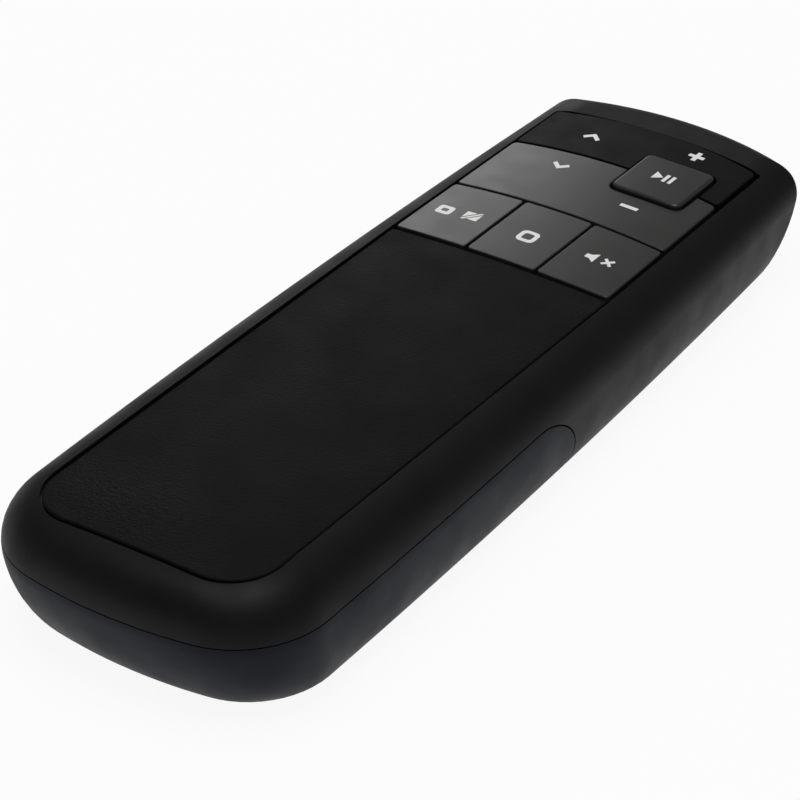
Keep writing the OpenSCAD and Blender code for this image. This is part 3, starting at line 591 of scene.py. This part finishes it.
@dataclass(frozen=True)
class Shells:
    """The top casing and the sliding battery cover.

    Attributes:
        form: The outer form.
        wall: Thickness of the walls.
        floor_rim: Width of the rim around the floor opening.
        floor_cut: Lower and upper level of the cut for that opening.
        seam_gap: Gap between the casing and the cover.
        seam_z: Level of the seam.
        seam_steps: Steps of the seam's round corner.
        cover_front: Where the cover's front end stands.
        cover_corner: Radius of the seam's corner.
        zone_box: Tail end, lower level and half width of the space below the seam.
        inside_top: Level of the hollow's top.
        pad_floor: Level of the pad pocket's floor.
        edge: Radius of the rims.
        boss_lap: How far the bosses reach into the roof.
        bosses: For each pair of bosses x, y, lower level, radius and bore.
        rail: For the rails inner x, width, middle y, length, middle level and height.
        rail_edge: Bevel of the rails.
    """

    form: CasingForm = field(default_factory=CasingForm)
    wall: float = 1.5
    floor_rim: float = 2.0
    floor_cut: Point = (-1.0, 2.6)
    seam_gap: float = 0.15
    seam_z: float = 11.9
    seam_steps: int = 24
    cover_front: float = 2.3
    cover_corner: float = 9.0
    zone_box: tuple[float, float, float] = (-90.0, -20.0, 40.0)
    inside_top: float = 14.9
    pad_floor: float = 15.7
    edge: float = 0.35
    boss_lap: float = 0.1
    bosses: tuple[tuple[float, ...], ...] = (
        (8.5, 5.1, 3.1, 2.2, 1.05), (6.0, -57.8, 7.2, 2.2, 1.05), (12.5, 5.6, 9.2, 1.7, 0.8))
    rail: tuple[float, ...] = (19.38, 1.65, -24.9, 40.0, 6.3, 1.1)
    rail_edge: float = 0.15

    def zone(self, gap: float) -> bpy.types.Object:
        """Makes the space of the cover: all below the seam and behind its front, one corner round."""
        y0, z0, half = self.zone_box
        y1, z1, r = self.cover_front + gap, self.seam_z + gap, self.cover_corner
        turn = [math.pi / 2 * i / self.seam_steps for i in range(self.seam_steps + 1)]
        profile = ([(y0, z0), (y1, z0)]
                   + [(y1 - r + r * math.cos(t), z1 - r + r * math.sin(t)) for t in turn]
                   + [(y0, z1)])
        rings = Rings("zone", [Vector((-half, y, z)) for y, z in profile], "seam")
        rings.up([Vector((half, y, z)) for y, z in profile])
        return rings.done()

    def top(self, window: list[Point], pocket: list[Point]) -> bpy.types.Object:
        """Makes the top casing: form, hollow, seam, floor opening, pad pocket and key window."""
        shell = self.form.outer("casing_shell")
        cut(shell, self.zone(self.seam_gap))
        lift = self.form.plane.lift
        hole = prism("pocket", pocket, self.pad_floor, OVER, "pocket")
        bend(hole, 0, lambda x, y: lift(y))
        cut(shell, hole)
        cut(shell, prism("window", window, self.form.widest_z, OVER, "window"))
        for mark in ("pocket", "window", "seam"):
            round_rims(shell, self.edge, ("skin", mark))
        cut(shell, self.form.hollow(self.wall, self.wall, self.inside_top))
        cut(shell, prism("floor", self.form.floor_outline(self.floor_rim), *self.floor_cut, "floor"))
        tubes = [tube("boss", r, bore, s * x, y, z0, self.inside_top + lift(y) + self.boss_lap)
                 for x, y, z0, r, bore in self.bosses for s in (-1, 1)]
        join(shell, tubes)
        return dress(shell, CASING_BLACK, "casing", ("top_casing",))

    def cover(self) -> bpy.types.Object:
        """Makes the battery cover with its two guide rails."""
        shell = self.form.outer("cover_shell")
        cut(shell, self.zone(0), "INTERSECT")
        round_rims(shell, self.edge, ("skin", "seam"))
        cut(shell, self.form.hollow(self.wall, self.wall, self.inside_top))
        x, w, y, l, z, h = self.rail
        rails = []
        for s in (-1, 1):
            xs = sorted((s * x, s * (x + w)))
            rails.append(prism("rail", [(xs[0], y - l / 2), (xs[1], y - l / 2), (xs[1], y + l / 2),
                                        (xs[0], y + l / 2)], z - h / 2, z + h / 2))
            apply_modifier(rails[-1], "BEVEL", width=self.rail_edge * MM, segments=2)
        join(shell, rails)
        return dress(shell, CASING_SLATE, "battery_cover", ("battery_cover",))


# ---------------------------------------------------------------- keys and pad


@dataclass(frozen=True)
class KeyField:
    """The key window, the pad's plan, the crown over both, and the keys in their strips.

    Attributes:
        plane: The top plane and its crown.
        half: Half width of the field at its tail end.
        taper: How much narrower each side is at the head end.
        y0, row_y, rocker_y, y1: Places of the strips' edges at the centre line.
        row_sag, rocker_sag, window_sag: How far those edges fall back at the sides.
        gap: Gap between keys.
        window_gap: Gap between the keys and the window's sides.
        reach: How far the taper runs on past both ends.
        middle_half: Half width of the middle small key.
        key_top: Level of the keys' ridge.
        small_z0, rocker_z0, play_z0: Levels of the keys' undersides.
        edge, play_edge, pad_edge: Radii of the top edges.
        corner: Radius of the keys' corners.
        play: The play key's x, y, width, length and corner radius.
        play_proud: How far the play key stands above its neighbours.
        pad_half, pad_y0, pad_corner: The pad's half width, tail end and corner radius.
        pad_gap: Gap around the pad.
        pad_top, pad_floor: Levels of the pad's ridge and underside.
        crown_cuts: Places where a cap is cut lengthwise, so that its top can follow the crown.
        edge_steps, corner_steps, pad_steps, strip_steps, window_steps: Steps of the curves.
    """

    plane: TopPlane = TopPlane()
    half: float = 16.75
    taper: float = 0.7
    y0: float = 17.6
    row_y: float = 32.2
    rocker_y: float = 46.7
    y1: float = 58.1
    row_sag: float = 0.8
    rocker_sag: float = 1.6
    window_sag: float = 2.3
    gap: float = 0.4
    window_gap: float = 0.6
    reach: float = 0.4
    middle_half: float = 5.3
    key_top: float = 16.85
    small_z0: float = 13.5
    rocker_z0: float = 12.7
    play_z0: float = 12.5
    edge: float = 0.15
    corner: float = 0.6
    play: tuple[float, ...] = (7.0, 46.2, 10.4, 9.8, 1.0)
    play_edge: float = 0.4
    play_proud: float = 0.5
    pad_half: float = 16.45
    pad_y0: float = -58.6
    pad_corner: float = 7.0
    pad_gap: float = 0.3
    pad_edge: float = 0.3
    pad_top: float = 16.6
    pad_floor: float = 15.7
    crown_cuts: tuple[int, ...] = tuple(range(-16, 17, 2))
    edge_steps: int = 6
    corner_steps: int = 5
    pad_steps: int = 16
    strip_steps: int = 24
    window_steps: int = 40

    def side(self, y: float, grow: float) -> float:
        """Returns the half width of the key field at a place, moved out by grow."""
        start, end = self.y0 - self.reach, self.y1 + self.reach
        return self.half + grow - self.taper * (y - start) / (end - start)

    def arc_y(self, x: float, y: float, sag: float) -> float:
        """Returns the height of a crowned strip edge at x."""
        if sag == 0:
            return y
        r = (self.half ** 2 + sag ** 2) / (2 * sag)
        return y - r + math.sqrt(r * r - x * x)

    def line(self, x0: float | None, x1: float | None, edge: Point, grow: float,
             steps: int) -> list[Point]:
        """Returns one edge of a strip from left to right.

        Args:
            x0: Left end, or None for the field's left side.
            x1: Right end, or None for the field's right side.
            edge: Place at the centre line, and sag at the sides.
            grow: How far the field's sides are moved out.
            steps: Steps from end to end.

        Returns:
            The edge's points.
        """
        reach = self.side(self.arc_y(self.side(edge[0], grow), *edge), grow)
        left = -reach if x0 is None else x0
        right = reach if x1 is None else x1
        xs = [left + (right - left) * i / steps for i in range(steps + 1)]
        return [(x, self.arc_y(x, *edge)) for x in xs]

    def strip(self, x0: float | None, x1: float | None, low: Point, high: Point, grow: float,
              steps: int) -> list[Point]:
        """Returns a strip's outline, counter-clockwise from its lower left corner."""
        return self.line(x0, x1, low, grow, steps) + self.line(x0, x1, high, grow, steps)[::-1]

    def window(self) -> list[Point]:
        """Returns the key window's outline."""
        return self.strip(None, None, (self.y0, 0), (self.y1, self.window_sag), 0, self.window_steps)

    def pad_outline(self, grow: float) -> list[Point]:
        """Returns the pad's outline, with round corners at the tail."""
        r, a, y0, y1 = self.pad_corner, self.pad_half, self.pad_y0, self.y0
        turn = [math.pi / 2 * i / self.pad_steps for i in range(self.pad_steps + 1)]
        right = [(a - r + (r + grow) * math.sin(t), y0 + r - (r + grow) * math.cos(t)) for t in turn]
        return right + [(a + grow, y1), (-a - grow, y1)] + [(-x, y) for x, y in reversed(right)]

    def rounded(self, x: float, y: float, w: float, l: float, r: float, steps: int = 8) -> list[Point]:
        """Returns a rounded rectangle's outline."""
        points = []
        for k, (i, j) in enumerate(((1, -1), (1, 1), (-1, 1), (-1, -1))):
            for n in range(steps + 1):
                t = math.pi / 2 * (k - 1 + n / steps)
                points.append((x + i * (w / 2 - r) + r * math.cos(t),
                               y + j * (l / 2 - r) + r * math.sin(t)))
        return points

    def cap(self, name: str, outline: list[Point], z0: float, z1: float, edge: float,
            notch: list[Point] | None = None, corners: tuple[int, ...] = (),
            sloped: bool = False) -> bpy.types.Object:
        """Makes a crowned cap with a rounded top edge.

        Args:
            name: The piece's name.
            outline: Plan points in mm.
            z0: Lower level in mm.
            z1: Level of the crown's ridge in mm.
            edge: Radius of the top edge in mm.
            notch: Outline of what is cut from the side.
            corners: Indices of the outline's corners that are rounded.
            sloped: Whether the underside falls with the top as well.

        Returns:
            The cap.
        """
        rings = Rings(name, [Vector((x, y, z0)) for x, y in outline])
        if corners:
            self.round_corners(corners)
            bpy.ops.mesh.select_all(action="SELECT")
            bpy.ops.mesh.extrude_region_move(TRANSFORM_OT_translate={"value": (0, 0, (z1 - z0) * MM)})
        else:
            rings.up([Vector((x, y, z1)) for x, y in outline])
        piece = rings.done()
        if notch:
            cut(piece, prism("notch", notch, z0 - 1, z1 + 5))
        only(piece)
        switch(Mode.EDIT)
        self.select_top_edges(piece, z1)
        bpy.ops.mesh.bevel(offset=edge * MM, segments=self.edge_steps, profile=0.5)
        for x in self.crown_cuts:
            bpy.ops.mesh.select_all(action="SELECT")
            bpy.ops.mesh.bisect(plane_co=(x * MM, 0, 0), plane_no=(1, 0, 0))
        middle = (z0 + z1) / 2
        bend(piece, middle, lambda x, y: self.plane.crown(x))
        bend(piece, 0 if sloped else middle, lambda x, y: self.plane.lift(y))
        return piece

    def round_corners(self, corners: tuple[int, ...]) -> None:
        """Rounds the outline's corners while it is still one flat face."""
        mesh = bmesh.from_edit_mesh(bpy.context.object.data)
        layer = mesh.verts.layers.int["place"]
        for v in mesh.verts:
            v.select = v[layer] in corners
        mesh.select_flush_mode()
        bmesh.update_edit_mesh(bpy.context.object.data)
        bpy.ops.mesh.bevel(affect="VERTICES", offset=self.corner * MM, segments=self.corner_steps)

    def select_top_edges(self, piece: bpy.types.Object, z1: float, near: float = 0.01,
                         steep: float = 0.8) -> None:
        """Selects the edges round the flat top: near its level in mm, and steeper than an angle."""
        bpy.ops.mesh.select_mode(type="EDGE")
        bpy.ops.mesh.select_all(action="DESELECT")
        mesh = bmesh.from_edit_mesh(piece.data)
        for e in mesh.edges:
            level = min(v.co.z for v in e.verts) > (z1 - near) * MM
            e.select = level and e.calc_face_angle(0) > steep
        bmesh.update_edit_mesh(piece.data)

    def strip_key(self, name: str, x0: float | None, x1: float | None, low: Point, high: Point,
                  z0: float, notch: list[Point] | None = None) -> bpy.types.Object:
        """Makes a key from a strip of the field."""
        outline = self.strip(x0, x1, low, high, -self.window_gap, self.strip_steps)
        n = len(outline)
        corners = (0, n // 2 - 1, n // 2, n - 1)
        return self.cap(name, outline, z0, self.key_top, self.edge, notch, corners)

    def build(self) -> None:
        """Makes the pad, the four push keys and the two rockers."""
        pad = self.cap("pad_skin", self.pad_outline(0), self.pad_floor, self.pad_top, self.pad_edge,
                       sloped=True)
        dress(pad, GRIP_RUBBER, "casing", ("grip_pad",))
        g, m = self.gap / 2, self.middle_half
        low, high = (self.y0 + self.pad_gap, 0.0), (self.row_y - g, self.row_sag)
        for name, x0, x1 in (("start", None, -m - g), ("screen", -m + g, m - g), ("mute", m + g, None)):
            key = self.strip_key(name + "_cap", x0, x1, low, high, self.small_z0)
            dress(key, KEY_GREY, name + "_key", (name + "_key",))
        x, y, w, l, r = self.play
        notch = self.rounded(x, y, w + 2 * self.gap, l + 2 * self.gap, r + self.gap)
        lower = self.strip_key("lower_cap", None, None, (self.row_y + g, self.row_sag),
                               (self.rocker_y - g, self.rocker_sag), self.rocker_z0, notch)
        dress(lower, KEY_GREY, "lower_rocker", ("lower_rocker",))
        upper = self.strip_key("upper_cap", None, None, (self.rocker_y + g, self.rocker_sag),
                               (self.y1 - self.window_gap, self.window_sag), self.rocker_z0, notch)
        dress(upper, KEY_DARK, "upper_rocker", ("upper_rocker",))
        play = self.cap("play_cap", self.rounded(x, y, w, l, r), self.play_z0,
                        self.key_top + self.play_proud, self.play_edge)
        dress(play, KEY_GREY, "play_key", ("play_key",))


@dataclass(frozen=True)
class Symbols:
    """The printed symbols, thin flat inks that follow the keys' crown.

    Attributes:
        keys: The keys that they lie on.
        base: Level where a symbol is drawn before it is laid on its key.
        ink: How far the ink stands above the key.
        sunk: How far it reaches into the key.
    """

    keys: KeyField = field(default_factory=KeyField)
    base: float = 1.0
    ink: float = 0.02
    sunk: float = 0.04

    def filled(self, outline: list[Point], x: float, y: float) -> bpy.types.Object:
        """Draws one filled shape of ink about a point."""
        plan = [(x + a, y + b) for a, b in outline]
        return prism("ink", plan, self.base - self.sunk, self.base + self.ink)

    def ring(self, outer: list[Point], inner: list[Point], x: float, y: float) -> bpy.types.Object:
        """Draws one ring of ink from two outlines with the same number of points."""

        def at(outline: list[Point], level: float) -> list[Vector]:
            """Returns the outline at a level."""
            return [Vector((x + a, y + b, level)) for a, b in outline]

        rings = Rings("ink", at(outer, self.base - self.sunk))
        rings.up(at(outer, self.base + self.ink))
        rings.up(at(inner, self.base + self.ink))
        rings.up(at(inner, self.base - self.sunk / 2))
        return rings.done()

    def bar(self, x: float, w: float, l: float, slant: float = 0) -> list[Point]:
        """Returns a bar's outline, its ends slanted by a shift."""
        return [(x - w / 2 - slant, -l / 2), (x + w / 2 - slant, -l / 2),
                (x + w / 2 + slant, l / 2), (x - w / 2 + slant, l / 2)]

    def plus(self, reach: float, half: float, turn: float = 0) -> list[Point]:
        """Returns a plus sign's outline, turned by an angle in degrees."""
        arm = [(half, -reach), (half, -half), (reach, -half)]
        points: list[Point] = []
        for _ in range(4):
            points += arm
            arm = [(-b, a) for a, b in arm]
        c, s = math.cos(math.radians(turn)), math.sin(math.radians(turn))
        return [(a * c - b * s, a * s + b * c) for a, b in points]

    def chevron(self, s: int) -> list[Point]:
        """Returns a chevron that points up or down the body."""
        points = [(-1.3, -0.35 * s), (-0.95, -0.85 * s), (0, 0.0), (0.95, -0.85 * s),
                  (1.3, -0.35 * s), (0, 0.85 * s)]
        return points if s > 0 else points[::-1]

    def lay(self, piece: bpy.types.Object, level: float) -> None:
        """Lowers a symbol on its key's crowned top."""
        bend(piece, 0, lambda x, y: level - self.base + self.keys.plane.surface(x, y))

    def build(self) -> None:
        """Prints each key's symbol."""
        k, top = self.keys, self.keys.key_top
        square, hole = k.rounded(0, 0, 2.7, 2.7, 0.8), k.rounded(0, 0, 1.45, 1.45, 0.35)
        screen, glass = k.rounded(0, 0, 2.3, 2.1, 0.5), k.rounded(0, 0, 1.0, 0.8, 0.2)
        half_screen = [(-1.15, 0.9), (-1.15, -0.77), (0.26, 0.9)]
        other_half = [(-a, -b) for a, b in half_screen]
        slash = self.bar(0, 0.45, 2.3, 0.95)
        speaker = [(-1.2, -0.45), (-0.5, -0.45), (0.35, -1.1), (0.35, 1.1), (-0.5, 0.45), (-1.2, 0.45)]
        triangle = [(-1.6, -0.95), (-0.2, 0.0), (-1.6, 0.95)]
        pause = [self.bar(x, 0.5, 1.9) for x in (0.2, 1.1)]
        sets = {
            "page_up_ink": ("upper_rocker", [self.filled(self.chevron(1), -7.36, 51.6)]),
            "volume_up_ink": ("upper_rocker", [self.filled(self.plus(1.15, 0.33), 7.05, 54.6)]),
            "page_down_ink": ("lower_rocker", [self.filled(self.chevron(-1), -6.72, 42.4)]),
            "volume_down_ink": ("lower_rocker", [self.filled(self.bar(0, 2.6, 0.66), 6.68, 38.2)]),
            "play_ink": ("play_key", [self.filled(shape, 6.95, 46.6) for shape in (triangle, *pause)]),
            "start_ink": ("start_key", [
                self.ring(screen, glass, -13.0, 24.6),
                *(self.filled(shape, -9.0, 24.9) for shape in (half_screen, other_half, slash))]),
            "screen_ink": ("screen_key", [self.ring(square, hole, 0.0, 24.4)]),
            "mute_ink": ("mute_key", [self.filled(speaker, 9.7, 24.9),
                                      self.filled(self.plus(0.95, 0.22, 45), 11.8, 24.9)]),
        }
        for name, (body, parts) in sets.items():
            piece = join(parts[0], parts[1:]) if len(parts) > 1 else parts[0]
            piece.name = piece.data.name = name
            self.lay(piece, top + k.play_proud if body == "play_key" else top)
            dress(piece, WHITE_INK, body)


# ---------------------------------------------------------------- parts kept from the frame


def dress_frame_nodes() -> None:
    """Gives every CAD node the procedural finish of its slot."""
    for name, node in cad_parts.items():
        for place in node.material_slots:
            slot = place.material.name.split(".")[0] if place.material else ""
            finish = SLOT_FINISHES.get(slot)
            if finish is None:
                LOG.warning("%s: no finish for slot %r", name, slot)
                continue
            place.material = finish.material()


# ---------------------------------------------------------------- studio


@dataclass(frozen=True)
class Lamp:
    """A soft square lamp that looks at the object."""

    name: str
    place: tuple[float, float, float]
    size: float
    power: float

    def hang(self) -> None:
        """Adds the lamp."""
        data = bpy.data.lights.new(self.name, "AREA")
        data.shape, data.size, data.energy = "SQUARE", self.size, self.power
        lamp = bpy.data.objects.new(self.name, data)
        bpy.context.scene.collection.objects.link(lamp)
        lamp.location = self.place
        lamp.rotation_euler = Vector(self.place).to_track_quat("Z", "Y").to_euler()


@dataclass(frozen=True)
class Studio:
    """A white table, soft lamps and the camera.

    Attributes:
        azimuth, elevation, roll: The camera's angles in degrees.
        distance: From the camera to its aim in mm.
        focal_px, frame_px: Focal length and frame in pixels.
        sensor: The camera's sensor in mm.
        near: Where the camera's view starts, in m.
        aim: How far the aim lies right of and above the middle, in mm.
        middle: The middle's place on the centre line, in mm.
        floor_half: Half the table's side in m.
        floor_gap: Gap in mm that keeps the table's face off the object's.
        floor_tone: The table's colour.
        floor_glow: The share of plain white that the camera sees of the table.
        world_level: The room's light.
        lamps: The lamps.
    """

    azimuth: float = 35.569
    elevation: float = 33.946
    roll: float = -1.479
    distance: float = 485.886
    focal_px: float = 3877.7
    frame_px: int = 800
    sensor: float = 36.0
    near: float = 0.01
    aim: Point = (-2.853, -4.146)
    middle: tuple[float, float, float] = (0.0, 0.285, 10.0)
    floor_half: float = 4.0
    floor_gap: float = 0.05
    floor_tone: str = "#f4f4f4"
    floor_glow: float = 0.92
    world_level: float = 0.2
    lamps: tuple[Lamp, ...] = (
        Lamp("overhead", (0.1, -0.1, 1.2), 0.8, 8.5),
        Lamp("left softbox", (-0.345, 0.445, 0.212), 0.15, 0.235),
    )

    def camera(self) -> None:
        """Adds the camera on its line of sight."""
        az, el, roll = (math.radians(v) for v in (self.azimuth, self.elevation, self.roll))
        back = Vector((math.sin(az) * math.cos(el), -math.cos(az) * math.cos(el), math.sin(el)))
        right = Vector((math.cos(az), math.sin(az), 0))
        up = back.cross(right)
        x = math.cos(roll) * right + math.sin(roll) * up
        y = -math.sin(roll) * right + math.cos(roll) * up
        target = Vector(self.middle) + self.aim[0] * x + self.aim[1] * y
        data = bpy.data.cameras.new("camera")
        data.sensor_width = self.sensor
        data.lens = self.sensor * self.focal_px / self.frame_px
        data.clip_start = self.near
        camera = bpy.data.objects.new("camera", data)
        bpy.context.scene.collection.objects.link(camera)
        turn = Matrix((x, y, back)).transposed().to_4x4()
        camera.matrix_world = Matrix.Translation((target + self.distance * back) * MM) @ turn
        bpy.context.scene.camera = camera

    def seen_as_white(self, tree: bpy.types.NodeTree) -> bpy.types.NodeSocket:
        """Returns 1 for the rays that show the background: camera, glossy and transmission rays."""
        path = add_node(tree, "ShaderNodeLightPath").outputs
        one = add_node(tree, "ShaderNodeMath",
                       {0: path["Is Camera Ray"], 1: path["Is Glossy Ray"]}, operation="MAXIMUM")
        both = add_node(tree, "ShaderNodeMath",
                        {0: one.outputs[0], 1: path["Is Transmission Ray"]}, operation="MAXIMUM")
        return both.outputs[0]

    def floor(self) -> None:
        """Adds the white table, which keeps the object's soft shadow."""
        bpy.ops.object.select_all(action="DESELECT")
        bpy.ops.mesh.primitive_plane_add(size=2 * self.floor_half, location=(0, 0, -self.floor_gap * MM))
        table = bpy.context.object
        table.name = "table"
        made = bpy.data.materials.new("white table laminate")
        made.use_nodes = True
        tree = made.node_tree
        tree.nodes.clear()
        seen = self.seen_as_white(tree)
        share = add_node(tree, "ShaderNodeMath", {0: seen, 1: self.floor_glow}, operation="MULTIPLY")
        matt = add_node(tree, "ShaderNodeBsdfDiffuse", {"Color": linear(self.floor_tone)})
        glow = add_node(tree, "ShaderNodeEmission", {"Color": (1, 1, 1, 1), "Strength": 1.0})
        mix = add_node(tree, "ShaderNodeMixShader",
                       {0: share.outputs[0], 1: matt.outputs[0], 2: glow.outputs[0]})
        add_node(tree, "ShaderNodeOutputMaterial", {"Surface": mix.outputs[0]})
        table.data.materials.append(made)

    def world(self) -> None:
        """Sets a plain grey room that looks white behind the table."""
        room = bpy.data.worlds.new("room")
        room.use_nodes = True
        tree = room.node_tree
        tree.nodes.clear()
        path = add_node(tree, "ShaderNodeLightPath").outputs
        level = add_node(tree, "ShaderNodeMapRange",
                         {"Value": path["Is Camera Ray"], "To Min": self.world_level, "To Max": 1.0})
        ground = add_node(tree, "ShaderNodeBackground",
                          {"Color": (1, 1, 1, 1), "Strength": level.outputs["Result"]})
        add_node(tree, "ShaderNodeOutputWorld", {"Surface": ground.outputs[0]})
        bpy.context.scene.world = room

    def build(self) -> None:
        """Sets up the whole studio."""
        self.camera()
        self.floor()
        self.world()
        for lamp in self.lamps:
            lamp.hang()
        bpy.context.scene.view_settings.view_transform = "Standard"


def write_sizes() -> None:
    """Brings the view layer up to date."""
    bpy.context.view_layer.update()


def main() -> None:
    """Builds the clicker and its studio."""
    logging.basicConfig(level=logging.INFO, format="%(message)s")
    dress_frame_nodes()
    keys = KeyField()
    shells = Shells()
    shells.top(keys.window(), keys.pad_outline(keys.pad_gap))
    shells.cover()
    keys.build()
    Symbols(keys).build()
    Studio().build()
    write_sizes()


if __name__ == "__main__":
    main()
